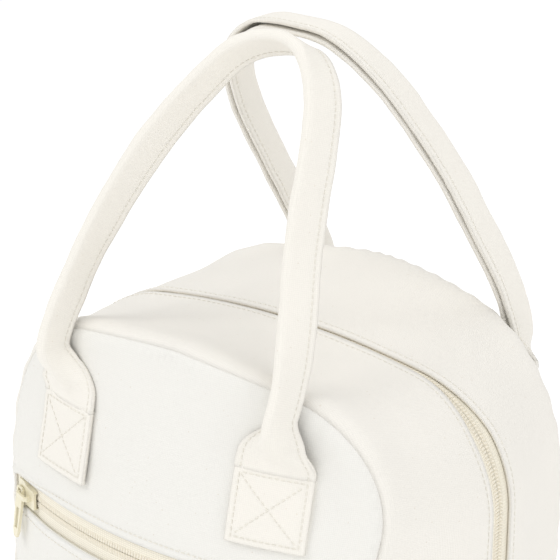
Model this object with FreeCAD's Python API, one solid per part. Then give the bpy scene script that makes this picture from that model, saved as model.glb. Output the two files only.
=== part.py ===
import FreeCAD, Part

import math
import os

from FreeCAD import Matrix, Placement, Rotation, Vector

# Soft canvas lunch box: an insulated bag with an arched top, a zip over the top and down both sides,
# a zipped front pocket and two carrying handles. Millimetres, +Z up, the front faces -Y, and the
# origin is the centre of the base where it stands.

# body
HEIGHT = 240.0            # table to the top of the front and back seams
SEAM_WIDTH = 188.0        # between the sides, measured at the front and back seams
ZIP_WIDTH = 220.0         # between the sides, measured at the main zip
SEAM_DEPTH = 126.0        # front seam to back seam at the sides
TOP_DIP = 6.0             # how far the zip lies below the seams at the top
SHOULDER_RISE = 56.0      # height of the arched top over the straight sides
SHOULDER_RADIUS = 51.0    # small radius of the three-centred arch
BASE_CORNER = 12.0        # radius between the sides and the base
FACE_BOW = 22.0           # how far the stuffed faces stand out from their seams
FACE_SETBACK_TOP = 15.0   # how far they lean back at the top
FACE_SETBACK_BASE = 8.0   # and at the base
FOLD_HEIGHT = 64.0        # the opened front folds down at this height

# layers of the wall
CANVAS = 1.2
FOAM = 4.5
LINING = 0.8
POCKET_SPACE = 3.8        # room behind the pocket zip for its slider
POCKET_CLOTH = 0.5
BINDING = 0.8
BINDING_WIDTH = 8.0
BASE_BOARD = 2.0
BOARD_CLEARANCE = 1.5

# zips, number 5 coil
TAPE = 0.6
TAPE_HALF = 15.0
COIL_HALF = 2.9           # half the width of the closed chain
COIL_HEIGHT = 2.2
COIL_GAP = 0.3            # between the two closed coils
FOAM_SLOT_HALF = 7.0      # the wadding stops this far from the chain
ZIP_END_HEIGHT = 38.0     # lower ends of the main zip
ZIP_SLIT_HALF = 3.2       # half the gap between the canvas edges over the top
ZIP_REVEAL_HALF = 6.0     # half the gap down the sides
ZIP_SLIT_DROP = 6.0       # the gap starts to widen this far below the zip's top
ZIP_REVEAL_DROP = 40.0    # and is at its full width here
STOP_LENGTH = 2.6
POCKET_ZIP_HEIGHT = 154.0
POCKET_REVEAL_HALF = 7.5  # half the height of the pocket's window
POCKET_REVEAL_END = 6.0   # half its height at the two ends
POCKET_REVEAL_TAPER = 28.0
POCKET_END_MARGIN = 3.0   # window to side seam
POCKET_BAG_TOP = 18.0     # pocket cloth above the zip
POCKET_BAG_BOTTOM = 72.0  # height of the pocket's floor

# slider and puller
SLIDER_LENGTH = 15.6
SLIDER_REAR_HALF = 4.3    # half widths over the side flanges
SLIDER_NOSE_HALF = 5.6
SLIDER_PLATE = 1.1
SLIDER_CHANNEL = 2.8      # height between the two plates
SLIDER_TAPE_SLOT = 1.3
SLIDER_FLANGE = 1.0
SLIDER_CORNER = 1.6
DIVIDER_HALF = 1.0
DIVIDER_LENGTH = 6.6
BAIL_LENGTH = 9.5
BAIL_WIDTH = 1.8
BAIL_BAR = 1.1
BAIL_OPENING = 1.9
BAIL_LEG = 1.5
PULLER_THICKNESS = 1.2
PULLER_LENGTH = 22.0
PULLER_HALF = 3.1
PULLER_TIP_HALF = 2.5
PULLER_EYE_HALF = 1.5     # half the width of the eye's hole
PULLER_EYE_LENGTH = 3.6
PULLER_LEAN = 7.0         # degrees that the pocket's puller leans out over the canvas

# handles: a canvas strip folded in half, opened flat where it is sewn on
STRIP_WIDTH = 33.0
STRAP_WIDTH = 18.0
STRAP_THICKNESS = 4.4
STRAP_ROOT_WIDTH = 26.0
STRAP_ROOT_THICKNESS = 3.0
PATCH_HEIGHT = 30.0
PATCH_THICKNESS = 1.6
PATCH_DROP = 34.0         # from the top of the seams down to the handles' sewn-on ends
HANDLE_SPACING = 108.0    # between the two ends of one handle
BACK_HANDLE_SHIFT = 9.0   # the back handle is sewn on this far to the right
STRAP_GAP = 4.0           # from the patch to where the strap is free to bend
STRAP_STANDOFF = 0.3      # from the panel to the strap
HANDLE_APEX_GAP = 0.6     # between the two straps where they meet
HANDLE_RISE = 112.0       # from the top of the seams up to the straps' middle line
HANDLE_STRAIGHT = 24.0    # the strap runs straight up the panel before it leans in
STRAP_UPRIGHT = 7.0       # it starts straight up for this far
FOLD_UP = 40.0            # height over which the flat strip folds in half

# tools
REACH = 40.0              # how far tools and half spaces run past the body

# flat strips that stand for the curves of the soft walls
CORNER_FACETS = 2
SHOULDER_FACETS = 5
CROWN_FACETS = 3          # each side of the middle
FACE_FACETS = 12
STRAP_STEPS = 30

PATCH_TOP = HEIGHT - PATCH_DROP
HANDLE_TOP = HEIGHT + HANDLE_RISE
SEAM_Y = SEAM_DEPTH / 2
SEAM_HALF = SEAM_WIDTH / 2
ZIP_HALF = ZIP_WIDTH / 2
SPRING = HEIGHT - TOP_DIP - SHOULDER_RISE
LEAN_HEIGHT = POCKET_ZIP_HEIGHT + TAPE_HALF
ZIP_BAND_Y = TAPE_HALF + 1.0
FOAM_IN = CANVAS + FOAM
LINING_IN = FOAM_IN + LINING
FRONT_CLOTH_IN = CANVAS + POCKET_SPACE + POCKET_CLOTH
FRONT_FOAM_IN = FRONT_CLOTH_IN + FOAM
FRONT_LINING_IN = FRONT_FOAM_IN + LINING
CHAIN_IN = CANVAS + TAPE / 2
FAR = max(SEAM_WIDTH, ZIP_WIDTH, SEAM_DEPTH, HEIGHT) + REACH


def box(x0, x1, y0, y1, z0, z1):
    return Part.makeBox(x1 - x0, y1 - y0, z1 - z0, Vector(x0, y0, z0))


def front_space(y=0.0):
    """Everything in front of y."""
    return box(-FAR, FAR, -FAR, y, -FAR, 2 * FAR)


def back_space(y=0.0):
    return box(-FAR, FAR, y, FAR, -FAR, 2 * FAR)


def between(z0, z1):
    return box(-FAR, FAR, -FAR, FAR, z0, z1)


def prism_x(points):
    """A prism across the whole width, from (y, z) points."""
    wire = Part.makePolygon([Vector(-FAR, y, z) for y, z in points + points[:1]])
    return Part.Face(wire).extrude(Vector(2 * FAR, 0, 0))


def prism_y(points, y0, y1):
    """A prism from y0 to y1, from (x, z) points."""
    wire = Part.makePolygon([Vector(x, y0, z) for x, z in points + points[:1]])
    return Part.Face(wire).extrude(Vector(0, y1 - y0, 0))


# ---- the two families of surfaces that every layer is cut from ----

def arc_points(cx, cz, radius, first, last, count):
    """Points at equal angles along an arc, both ends included."""
    step = (last - first) / count
    angles = [first + step * i for i in range(count + 1)]
    return [(cx + radius * math.cos(a), cz + radius * math.sin(a)) for a in angles]


def outline(inset, z0, z1):
    """Right half of the outline over the zip, as (x, z): rounded base, straight side, three-centred arch."""
    half = ZIP_HALF - inset
    if z1 <= SPRING:
        corner = arc_points(
            ZIP_HALF - BASE_CORNER, BASE_CORNER, BASE_CORNER - inset, -math.pi / 2, 0.0, CORNER_FACETS
        )
        return [(0.0, inset)] + corner + [(half, z1), (0.0, z1)]
    rise = SHOULDER_RISE
    crown = (ZIP_HALF ** 2 + rise ** 2 - 2 * ZIP_HALF * SHOULDER_RADIUS) / (2 * (rise - SHOULDER_RADIUS))
    small_x = ZIP_HALF - SHOULDER_RADIUS
    large_z = HEIGHT - TOP_DIP - crown
    meet = math.atan2(SPRING - large_z, small_x)
    small = arc_points(small_x, SPRING, SHOULDER_RADIUS - inset, 0.0, meet, SHOULDER_FACETS)
    large = arc_points(0.0, large_z, crown - inset, meet, math.pi / 2, CROWN_FACETS)
    return [(0.0, z0), (half, z0)] + small + large[1:]


def arch(inset):
    """The outline run from front to back: narrow at the seams, wide in a flat band along the zip."""
    slant = SEAM_Y - ZIP_BAND_Y
    narrow = ZIP_HALF - SEAM_HALF
    far = FACE_BOW + REACH
    lap = 0.5 * SHOULDER_RISE
    pieces = []
    for z0, z1, lift in ((0.0, SPRING - TOP_DIP, 0.0), (SPRING - lap, HEIGHT, TOP_DIP)):
        corners = [Vector(x, 0, z) for x, z in outline(inset, z0, z1)]
        flat = Part.Face(Part.makePolygon(corners + corners[:1]))
        pieces.append(flat.extrude(Vector(0, ZIP_BAND_Y, 0)))
        edge = flat.translated(Vector(0, ZIP_BAND_Y, 0))
        pieces.append(edge.extrude(Vector(-narrow, slant, lift)))
        seam = edge.translated(Vector(-narrow, slant, lift))
        pieces.append(seam.extrude(Vector(0, far, 0)))
    quarter = pieces[0].multiFuse(pieces[1:]).common(box(0, FAR, 0, FAR, -FAR, 2 * FAR))
    half = quarter.fuse(quarter.mirror(Vector(), Vector(0, 1, 0)))
    return half.fuse(half.mirror(Vector(), Vector(1, 0, 0))).removeSplitter()


def face_radius():
    """Radius of a stuffed face in plan."""
    return (SEAM_HALF ** 2 + FACE_BOW ** 2) / (2 * FACE_BOW)


def face_centre():
    """Distance of the arc's centre from the middle plane, on the face's own side."""
    return SEAM_Y + FACE_BOW - face_radius()


def facet_angle():
    """Angle in plan that one flat strip of a face takes up."""
    return 2 * math.asin(SEAM_HALF / face_radius()) / FACE_FACETS


def face_column(inset):
    """Front half of the bag seen from above: upright, leaning back to the top and in to the base."""
    reach = math.asin(SEAM_HALF / face_radius()) + 2 * facet_angle()
    down = -math.pi / 2
    arc = arc_points(0.0, -face_centre(), face_radius() - inset, down - reach, down + reach, FACE_FACETS + 4)
    z0 = FOLD_HEIGHT
    rise = LEAN_HEIGHT - FOLD_HEIGHT
    corners = [Vector(arc[0][0], 0, z0)] + [Vector(x, y, z0) for x, y in arc] + [Vector(arc[-1][0], 0, z0)]
    section = Part.Face(Part.makePolygon(corners + corners[:1]))
    upright = section.extrude(Vector(0, 0, rise))
    past = 1.2
    low = section.extrude(Vector(0, past * FACE_SETBACK_BASE, -past * z0))
    high = section.translated(Vector(0, 0, rise)).extrude(
        Vector(0, past * FACE_SETBACK_TOP, past * (HEIGHT - LEAN_HEIGHT))
    )
    return upright.multiFuse([low, high]).common(front_space())


def plan(front_inset, back_inset=None):
    """A column with the bowed faces as its front and back."""
    if back_inset is None:
        back_inset = front_inset
    back = face_column(back_inset)
    back.rotate(Vector(), Vector(0, 0, 1), 180)
    return face_column(front_inset).fuse(back).removeSplitter()


def setback_at(z):
    if z > LEAN_HEIGHT:
        return FACE_SETBACK_TOP * (z - LEAN_HEIGHT) / (HEIGHT - LEAN_HEIGHT)
    if z < FOLD_HEIGHT:
        return FACE_SETBACK_BASE * (FOLD_HEIGHT - z) / FOLD_HEIGHT
    return 0.0


def face_y(x, z):
    """Distance of the outside of the front or back face from the middle plane."""
    step = facet_angle()
    middle = (math.floor(math.asin(abs(x) / face_radius()) / step) + 0.5) * step
    flat = face_radius() * math.cos(0.5 * step)
    return face_centre() + (flat - abs(x) * math.sin(middle)) / math.cos(middle) - setback_at(z)


ARCH_OUT = arch(0.0)
ARCH_CANVAS = arch(CANVAS)
ARCH_TAPE = arch(CANVAS + TAPE)
ARCH_FOAM = arch(FOAM_IN)
ARCH_LINING = arch(LINING_IN)
PLAN_OUT = plan(0.0)
PLAN_CANVAS = plan(CANVAS)
PLAN_FOAM = plan(FRONT_FOAM_IN, FOAM_IN)
PLAN_LINING = plan(FRONT_LINING_IN, LINING_IN)

FRONT_WALL_CANVAS = ARCH_OUT.common(PLAN_OUT.cut(PLAN_CANVAS)).common(front_space())
BACK_WALL_CANVAS = ARCH_OUT.common(PLAN_OUT.cut(PLAN_CANVAS)).common(back_space())
STRIP_CANVAS = ARCH_OUT.cut(ARCH_CANVAS).common(PLAN_CANVAS)
STRIP_FOAM = ARCH_CANVAS.cut(ARCH_FOAM).common(PLAN_FOAM)
STRIP_LINING = ARCH_FOAM.cut(ARCH_LINING).common(PLAN_LINING)

UPPER = between(FOLD_HEIGHT, 2 * FAR)
LOWER = between(-FAR, FOLD_HEIGHT)


# ---- main zip ----

def zip_window():
    """The gap between the canvas edges: a slit over the top that widens down the sides."""
    top = HEIGHT + REACH
    narrow = HEIGHT - TOP_DIP - ZIP_SLIT_DROP
    wide = HEIGHT - TOP_DIP - ZIP_REVEAL_DROP
    right = [(ZIP_SLIT_HALF, top), (ZIP_SLIT_HALF, narrow), (ZIP_REVEAL_HALF, wide)]
    right.append((ZIP_REVEAL_HALF, ZIP_END_HEIGHT))
    return prism_x(right + [(-y, z) for y, z in reversed(right)])


def chain_slot(half, below):
    """Straight-sided room along the chain, from just below its lower ends."""
    return box(-FAR, FAR, -half, half, ZIP_END_HEIGHT - below, 2 * FAR)


def main_zip_parts():
    tape_ring = ARCH_CANVAS.cut(ARCH_TAPE).common(between(ZIP_END_HEIGHT, 2 * FAR))
    front = tape_ring.common(box(-FAR, FAR, -TAPE_HALF, -COIL_HALF, -FAR, 2 * FAR))
    back = tape_ring.common(box(-FAR, FAR, COIL_HALF, TAPE_HALF, -FAR, 2 * FAR))
    coil_ring = arch(CHAIN_IN - COIL_HEIGHT / 2).cut(arch(CHAIN_IN + COIL_HEIGHT / 2))
    left_end = box(-FAR, 0, -FAR, FAR, ZIP_END_HEIGHT + STOP_LENGTH, 2 * FAR)
    right_end = box(0, FAR, -FAR, FAR, MAIN_SLIDER_REST, 2 * FAR)
    coil_ring = coil_ring.common(left_end.fuse(right_end))
    near = COIL_GAP / 2
    coil_front = coil_ring.common(box(-FAR, FAR, -COIL_HALF, -near, -FAR, 2 * FAR))
    coil_back = coil_ring.common(box(-FAR, FAR, near, COIL_HALF, -FAR, 2 * FAR))
    stops = []
    outer = ZIP_HALF - CHAIN_IN + COIL_HEIGHT / 2
    for side in (-1, 1):
        for half in (-1, 1):
            x0, x1 = sorted((side * outer, side * (outer - COIL_HEIGHT)))
            y0, y1 = sorted((half * near, half * COIL_HALF))
            stops.append(box(x0, x1, y0, y1, ZIP_END_HEIGHT, ZIP_END_HEIGHT + STOP_LENGTH))
    return {
        "main_tape_front": front.common(UPPER),
        "main_tape_front_ends": front.common(LOWER),
        "main_tape_back": back,
        "main_coil_front": coil_front.common(UPPER),
        "main_coil_front_ends": coil_front.common(LOWER),
        "main_coil_back": coil_back,
        "main_zip_stops": Part.makeCompound(stops),
    }


MAIN_SLIDER_REST = ZIP_END_HEIGHT + STOP_LENGTH + 1.5 + SLIDER_LENGTH / 2


# ---- front pocket zip ----

POCKET_END = SEAM_HALF - POCKET_END_MARGIN


def pocket_window():
    """The lens-shaped gap in the front canvas, as a prism through the front face."""
    taper = POCKET_END - POCKET_REVEAL_TAPER
    z = POCKET_ZIP_HEIGHT
    full = POCKET_REVEAL_HALF
    end = POCKET_REVEAL_END
    upper = [(-POCKET_END, end), (-taper, full), (taper, full), (POCKET_END, end)]
    outline = [(x, z + h) for x, h in upper] + [(x, z - h) for x, h in reversed(upper)]
    return prism_y(outline, -FAR, 0)


def pocket_layer(outer, inner, z0, z1, half):
    """A piece of front wall between two insets, z0 to z1, no wider than half each side."""
    wall = plan(outer).cut(plan(inner)).common(box(-half, half, -FAR, 0, z0, z1))
    return wall.common(ARCH_CANVAS)


def pocket_parts():
    z = POCKET_ZIP_HEIGHT
    half = POCKET_END + POCKET_END_MARGIN / 2
    near = COIL_GAP / 2
    inset = CHAIN_IN - COIL_HEIGHT / 2
    tape_in = CANVAS + TAPE
    left = pocket_slider_angle()
    radius = pocket_chain_radius()
    coil_left = -radius * math.sin(math.radians(left))
    coil_space = box(coil_left, POCKET_END - STOP_LENGTH, -FAR, 0, -FAR, 2 * FAR)
    parts = {
        "pocket_tape_upper": pocket_layer(CANVAS, tape_in, z + COIL_HALF, z + TAPE_HALF, half),
        "pocket_tape_lower": pocket_layer(CANVAS, tape_in, z - TAPE_HALF, z - COIL_HALF, half),
    }
    for name, z0, z1 in (("upper", z + near, z + COIL_HALF), ("lower", z - COIL_HALF, z - near)):
        bead = plan(inset).cut(plan(inset + COIL_HEIGHT)).common(box(-FAR, FAR, -FAR, 0, z0, z1))
        parts["pocket_coil_" + name] = bead.common(coil_space)
    stops = []
    for side, reach in ((-1, POCKET_END), (1, POCKET_END)):
        x0, x1 = sorted((side * reach, side * (reach - STOP_LENGTH)))
        for z0, z1 in ((z + near, z + COIL_HALF), (z - COIL_HALF, z - near)):
            stops.append(plan(inset).cut(plan(inset + COIL_HEIGHT)).common(box(x0, x1, -FAR, 0, z0, z1)))
    parts["pocket_zip_stops"] = Part.makeCompound([solid for stop in stops for solid in stop.Solids])
    bag_top = z + POCKET_BAG_TOP
    cloth = POCKET_CLOTH
    tray = pocket_layer(CANVAS, FRONT_CLOTH_IN, POCKET_BAG_BOTTOM, bag_top, half + cloth)
    hollow = pocket_layer(
        CANVAS, FRONT_CLOTH_IN - cloth, POCKET_BAG_BOTTOM + cloth, bag_top - cloth, half
    )
    parts["pocket_bag"] = tray.cut(hollow)
    return parts, tray


def pocket_chain_radius():
    """Radius of the pocket's chain in plan."""
    return face_radius() - CHAIN_IN


def pocket_slider_angle():
    """Degrees round the face's arc, from the middle to the slider at the left end."""
    along = POCKET_END - STOP_LENGTH - 0.5 - SLIDER_LENGTH / 2
    return math.degrees(math.asin(along / pocket_chain_radius()))


# ---- slider and puller, made with the chain along X, the outside up, and the nose towards +X ----

def slider_outline(rear, nose, length):
    """Half outline mirrored: straight rear, shoulders, blunt nose."""
    half = length / 2
    upper = [(-half, rear), (0.0, rear), (0.3 * half, nose), (half, nose)]
    return upper + [(x, -y) for x, y in reversed(upper)]


def plate(points, z0, z1):
    wire = Part.makePolygon([Vector(x, y, z0) for x, y in points + points[:1]])
    return Part.Face(wire).extrude(Vector(0, 0, z1 - z0))


def slider_solid():
    inner = SLIDER_CHANNEL / 2
    outer = inner + SLIDER_PLATE
    body = plate(slider_outline(SLIDER_REAR_HALF, SLIDER_NOSE_HALF, SLIDER_LENGTH), -outer, outer)
    corners = [edge for edge in body.Edges if abs(edge.tangentAt(edge.FirstParameter).z) > 0.9]
    ends = [edge for edge in corners if abs(abs(edge.CenterOfMass.x) - SLIDER_LENGTH / 2) < 0.01]
    body = body.makeFillet(SLIDER_CORNER, ends)
    rear = SLIDER_REAR_HALF - SLIDER_FLANGE
    nose = SLIDER_NOSE_HALF - SLIDER_FLANGE
    channel = plate(slider_outline(rear, nose, SLIDER_LENGTH + 2 * SLIDER_CORNER), -inner, inner)
    slot = Part.makeBox(
        2 * SLIDER_LENGTH, 4 * nose, SLIDER_TAPE_SLOT, Vector(-SLIDER_LENGTH, -2 * nose, -SLIDER_TAPE_SLOT / 2)
    )
    tip = SLIDER_LENGTH / 2 - DIVIDER_LENGTH
    middle = SLIDER_LENGTH / 2 - DIVIDER_LENGTH / 2
    end = SLIDER_LENGTH / 2 - 0.4
    wedge = [(tip, 0.0), (middle, DIVIDER_HALF), (end, 0.7 * DIVIDER_HALF)]
    wedge += [(end, -0.7 * DIVIDER_HALF), (middle, -DIVIDER_HALF)]
    divider = plate(wedge, -inner, inner)
    body = body.cut(channel).cut(slot).fuse(divider)
    return body.fuse(bail_solid(outer)).removeSplitter()


def bail_solid(base):
    """The arch over the upper plate that the puller's eye goes round."""
    half = BAIL_LENGTH / 2
    top = base + BAIL_OPENING + BAIL_BAR
    slope = BAIL_BAR
    outline = [(-half, base), (half, base), (half, top - slope), (half - slope, top)]
    outline += [(-half + slope, top), (-half, top - slope)]
    wire = Part.makePolygon([Vector(x, -BAIL_WIDTH / 2, z) for x, z in outline + outline[:1]])
    block = Part.Face(wire).extrude(Vector(0, BAIL_WIDTH, 0))
    window = Part.makeBox(
        BAIL_LENGTH - 2 * BAIL_LEG,
        2 * BAIL_WIDTH,
        BAIL_OPENING,
        Vector(-half + BAIL_LEG, -BAIL_WIDTH, base),
    )
    return block.cut(window)


PULLER_LEVEL = SLIDER_CHANNEL / 2 + SLIDER_PLATE + BAIL_OPENING / 2
BAIL_LEG_X = BAIL_LENGTH / 2 - BAIL_LEG / 2


def puller_solid():
    """Along +X with its eye's round bar on the origin: bar, two arms, tapered tab with a slot."""
    bar_radius = PULLER_THICKNESS / 2
    side = PULLER_EYE_HALF + bar_radius
    bar = Part.makeCylinder(bar_radius, 2 * side, Vector(0, -side, 0), Vector(0, 1, 0))
    neck = PULLER_EYE_LENGTH
    outline = [(0.0, side + bar_radius), (neck, PULLER_HALF), (PULLER_LENGTH - 3, PULLER_TIP_HALF)]
    outline += [(PULLER_LENGTH, 0.5 * PULLER_TIP_HALF)]
    outline += [(x, -y) for x, y in reversed(outline)]
    tab = plate(outline, -bar_radius, bar_radius)
    hole = Part.makeBox(
        PULLER_EYE_LENGTH, 2 * PULLER_EYE_HALF, 2 * PULLER_THICKNESS, Vector(0, -PULLER_EYE_HALF, -PULLER_THICKNESS)
    )
    finger_slot = Part.makeBox(
        0.42 * PULLER_LENGTH, PULLER_TIP_HALF, 2 * PULLER_THICKNESS,
        Vector(0.4 * PULLER_LENGTH, -PULLER_TIP_HALF / 2, -PULLER_THICKNESS),
    )
    return tab.cut(hole).cut(finger_slot).fuse(bar).removeSplitter()


def frame_matrix(origin, along, up):
    """Takes local X, Y, Z to along, up x along, up."""
    across = up.cross(along)
    return Matrix(
        along.x, across.x, up.x, origin.x,
        along.y, across.y, up.y, origin.y,
        along.z, across.z, up.z, origin.z,
        0, 0, 0, 1,
    )


def placed(shape, origin, along, up):
    moved = shape.copy()
    moved.Placement = Placement(frame_matrix(origin, along, up))
    return moved


def main_slider_parts():
    chain = Vector(ZIP_HALF - CHAIN_IN, 0, MAIN_SLIDER_REST)
    down = Vector(0, 0, -1)
    out = Vector(1, 0, 0)
    eye = chain + out * PULLER_LEVEL + down * (BAIL_LEG_X - BAIL_LEG / 2 - PULLER_THICKNESS / 2 - 0.3)
    return {
        "main_slider": placed(slider_solid(), chain, down, out),
        "main_puller": placed(puller_solid(), eye, down, out),
    }


def pocket_slider_parts():
    turn = math.radians(pocket_slider_angle())
    out = Vector(-math.sin(turn), -math.cos(turn), 0)
    along = Vector(-math.cos(turn), math.sin(turn), 0)
    radius = pocket_chain_radius() * math.cos(0.5 * facet_angle())
    centre = Vector(0, -face_centre(), POCKET_ZIP_HEIGHT)
    chain = centre + out * radius
    slider = placed(slider_solid(), chain, along, out)
    # the eye goes round the bail's leg on the nose side, so the puller hangs across the slider
    leg = chain + along * BAIL_LEG_X + out * PULLER_LEVEL
    lean = Rotation(along, PULLER_LEAN)
    down = lean.multVec(Vector(0, 0, -1))
    face = lean.multVec(out)
    if down.dot(out) < 0:
        lean = Rotation(along, -PULLER_LEAN)
        down = lean.multVec(Vector(0, 0, -1))
        face = lean.multVec(out)
    eye = leg - down * (PULLER_EYE_LENGTH / 2 + PULLER_THICKNESS / 4)
    return {"pocket_slider": slider, "pocket_puller": placed(puller_solid(), eye, down, face)}


# ---- handles ----

def strap_section(centre, tangent, across, width, thickness):
    """A flat strap with bevelled edges, square to the tangent."""
    across = across - tangent * across.dot(tangent)
    across.normalize()
    normal = tangent.cross(across)
    bevel = 0.3 * min(width, thickness)
    half = width / 2
    deep = thickness / 2
    outline = [(-half, -deep + bevel), (-half + bevel, -deep), (half - bevel, -deep), (half, -deep + bevel)]
    outline += [(half, deep - bevel), (half - bevel, deep), (-half + bevel, deep), (-half, deep - bevel)]
    return [centre + across * a + normal * n for a, n in outline]


def skin(sections):
    """A closed solid through sections with equal numbers of points, in flat triangles."""
    triangles = []
    for low, high in zip(sections, sections[1:]):
        for i in range(len(low)):
            j = (i + 1) % len(low)
            triangles.append([low[i], low[j], high[j]])
            triangles.append([low[i], high[j], high[i]])
    caps = [sections[0], sections[-1]]
    faces = [Part.Face(Part.makePolygon(points + points[:1])) for points in triangles + caps]
    return Part.Solid(Part.makeShell(faces))


def strap_depth(rise):
    """The strap's size out from the panel: opened flat at its ends, folded in half above them."""
    return STRAP_ROOT_THICKNESS + (STRAP_WIDTH - STRAP_ROOT_THICKNESS) * smooth(rise / FOLD_UP)


def strap_breadth(rise):
    return STRAP_ROOT_WIDTH + (STRAP_THICKNESS - STRAP_ROOT_WIDTH) * smooth(rise / FOLD_UP)


def strap_lean(rise, shift):
    """The strap's middle, out from the bag's middle plane: up the panel, then in a straight lean."""
    inner = (HANDLE_SPACING - STRAP_ROOT_WIDTH) / 2 - abs(shift)
    root = face_y(inner, PATCH_TOP) + STRAP_STANDOFF
    top = HANDLE_TOP - PATCH_TOP
    softness = 9.0
    slope = (root - HANDLE_APEX_GAP / 2) / (top - HANDLE_STRAIGHT)
    leant = softness * math.log1p(math.exp((rise - HANDLE_STRAIGHT) / softness))
    return root - slope * leant + strap_depth(rise) / 2


# each handle's line seen from the front, left to right between its ends, measured from the
# middle of its two ends and from the top of its patches
FRONT_LINE = [(-59, 24), (-60, 46), (-56.5, 64), (-50, 84), (-41, 104), (-29.5, 122.5), (-14.5, 140),
              (3, 146.3), (19.5, 144), (31.5, 130.5), (37, 112.5), (41, 91.5), (45.5, 73), (52, 52), (55, 28)]
BACK_LINE = [(-51, 26), (-50.5, 50), (-54, 74), (-57.3, 104), (-50.3, 129), (-30.5, 146), (-9, 148.8),
             (10, 146.2), (28, 128), (43, 96), (50, 66), (53.5, 38)]


# direction from the strap's fold to its open edges at shares of its length
FRONT_ACROSS = [(0.0, (0, 1, 0)), (0.12, (0.1, 1, 0)), (0.3, (0.4, 0.8, -0.4)), (0.48, (0, 0.75, -0.65)),
                (0.62, (0.35, 0.9, -0.1)), (0.8, (0.5, 0.85, 0)), (0.92, (0.1, 1, 0)), (1.0, (0, 1, 0))]
BACK_ACROSS = [(0.0, (0, 1, 0)), (1.0, (0, 1, 0))]


def across_at(table, along):
    for (s0, a0), (s1, a1) in zip(table, table[1:]):
        if along <= s1:
            share = (along - s0) / (s1 - s0)
            return Vector(*a0) * (1 - share) + Vector(*a1) * share
    return Vector(*table[-1][1])


def handle_solid(line, table, sign, shift):
    """One strap: flat on the panel at its ends, folded in half and turned on edge over the top."""
    half = HANDLE_SPACING / 2
    places = []
    ends = (STRAP_GAP, STRAP_GAP + STRAP_UPRIGHT)
    left = [(-half, rise) for rise in ends]
    right = [(half, rise) for rise in reversed(ends)]
    for x, rise in left + line + right:
        places.append(Vector(x + shift, sign * strap_lean(rise, shift), PATCH_TOP + rise))
    path = Part.BSplineCurve()
    path.interpolate(places)
    sections = []
    for i in range(STRAP_STEPS + 1):
        along = i / STRAP_STEPS
        at = path.FirstParameter + along * (path.LastParameter - path.FirstParameter)
        middle = path.value(at)
        rise = middle.z - PATCH_TOP
        tangent = path.tangent(at)[0]
        across = across_at(table, along)
        sections.append(strap_section(middle, tangent, across, strap_depth(rise), strap_breadth(rise)))
    return skin(sections)


def smooth(t):
    t = min(max(t, 0.0), 1.0)
    return t * t * (3 - 2 * t)


def handle_ends(sign, shift):
    """The two flat ends of a handle, sewn to the face."""
    layer = plan(-PATCH_THICKNESS).cut(PLAN_OUT)
    solids = []
    for side in (-1, 1):
        middle = side * HANDLE_SPACING / 2 + shift
        y0, y1 = sorted((0, sign * FAR))
        block = box(
            middle - STRIP_WIDTH / 2, middle + STRIP_WIDTH / 2, y0, y1, PATCH_TOP - PATCH_HEIGHT, PATCH_TOP
        )
        solids += layer.common(block).Solids
    return Part.makeCompound(solids)


# ---- walls ----

def front_parts(pocket_block):
    canvas = FRONT_WALL_CANVAS.cut(pocket_window())
    upper = between(POCKET_ZIP_HEIGHT, 2 * FAR)
    lower = between(FOLD_HEIGHT, POCKET_ZIP_HEIGHT)
    foam = ARCH_CANVAS.common(PLAN_CANVAS.cut(PLAN_FOAM)).common(front_space()).cut(pocket_block)
    lining = ARCH_FOAM.common(PLAN_FOAM.cut(PLAN_LINING)).common(front_space())
    return {
        "front_panel_upper": canvas.common(upper),
        "front_panel_pocket": canvas.common(lower),
        "front_panel_foot": canvas.common(LOWER),
        "foam_front": foam.common(UPPER),
        "foam_front_foot": foam.common(LOWER),
        "lining_front": lining.common(UPPER),
        "lining_front_foot": lining.common(LOWER),
    }


def back_parts():
    foam = ARCH_CANVAS.common(PLAN_CANVAS.cut(PLAN_FOAM)).common(back_space())
    lining = ARCH_FOAM.common(PLAN_FOAM.cut(PLAN_LINING)).common(back_space())
    return {"back_panel": BACK_WALL_CANVAS, "foam_back": foam, "lining_back": lining}


def strip_parts(tapes):
    """The strip round the edge in three pieces: two halves beside the zip, and one under the base."""
    canvas = STRIP_CANVAS.cut(zip_window())
    slot = chain_slot(FOAM_SLOT_HALF, FOAM_SLOT_HALF)
    foam = STRIP_FOAM.cut(slot)
    for tape in tapes:
        foam = foam.cut(tape)
    lining = STRIP_LINING.cut(slot)
    layers = {"gusset": canvas, "foam_gusset": foam, "lining_gusset": lining}
    base_names = {"gusset": "base_strip", "foam_gusset": "foam_base", "lining_gusset": "lining_base"}
    parts = {}
    for name, layer in layers.items():
        parts[name + "_front"] = layer.common(front_space()).common(UPPER)
        parts[name + "_back"] = layer.common(back_space()).common(UPPER)
        parts[base_names[name]] = layer.common(LOWER)
    return parts


def binding_parts():
    """Tape sewn over the raw seams, inside along the front and back corners."""
    ring = ARCH_LINING.cut(arch(LINING_IN + BINDING))
    inner = plan(FRONT_LINING_IN + BINDING_WIDTH, LINING_IN + BINDING_WIDTH)
    band = ring.common(PLAN_LINING.cut(inner))
    clear_of_board = between(LINING_IN + BASE_BOARD + BOARD_CLEARANCE, 2 * FAR)
    return {
        "binding_front": band.common(front_space()).common(UPPER),
        "binding_back": band.common(back_space()).common(clear_of_board),
    }


def base_board():
    """Loose stiffener on the lining's floor."""
    inset = LINING_IN + BOARD_CLEARANCE
    outline = plan(FRONT_LINING_IN + BOARD_CLEARANCE, inset)
    half = SEAM_HALF - BASE_CORNER
    board = box(-half, half, -FAR, FAR, LINING_IN, LINING_IN + BASE_BOARD)
    return board.common(outline)


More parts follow.
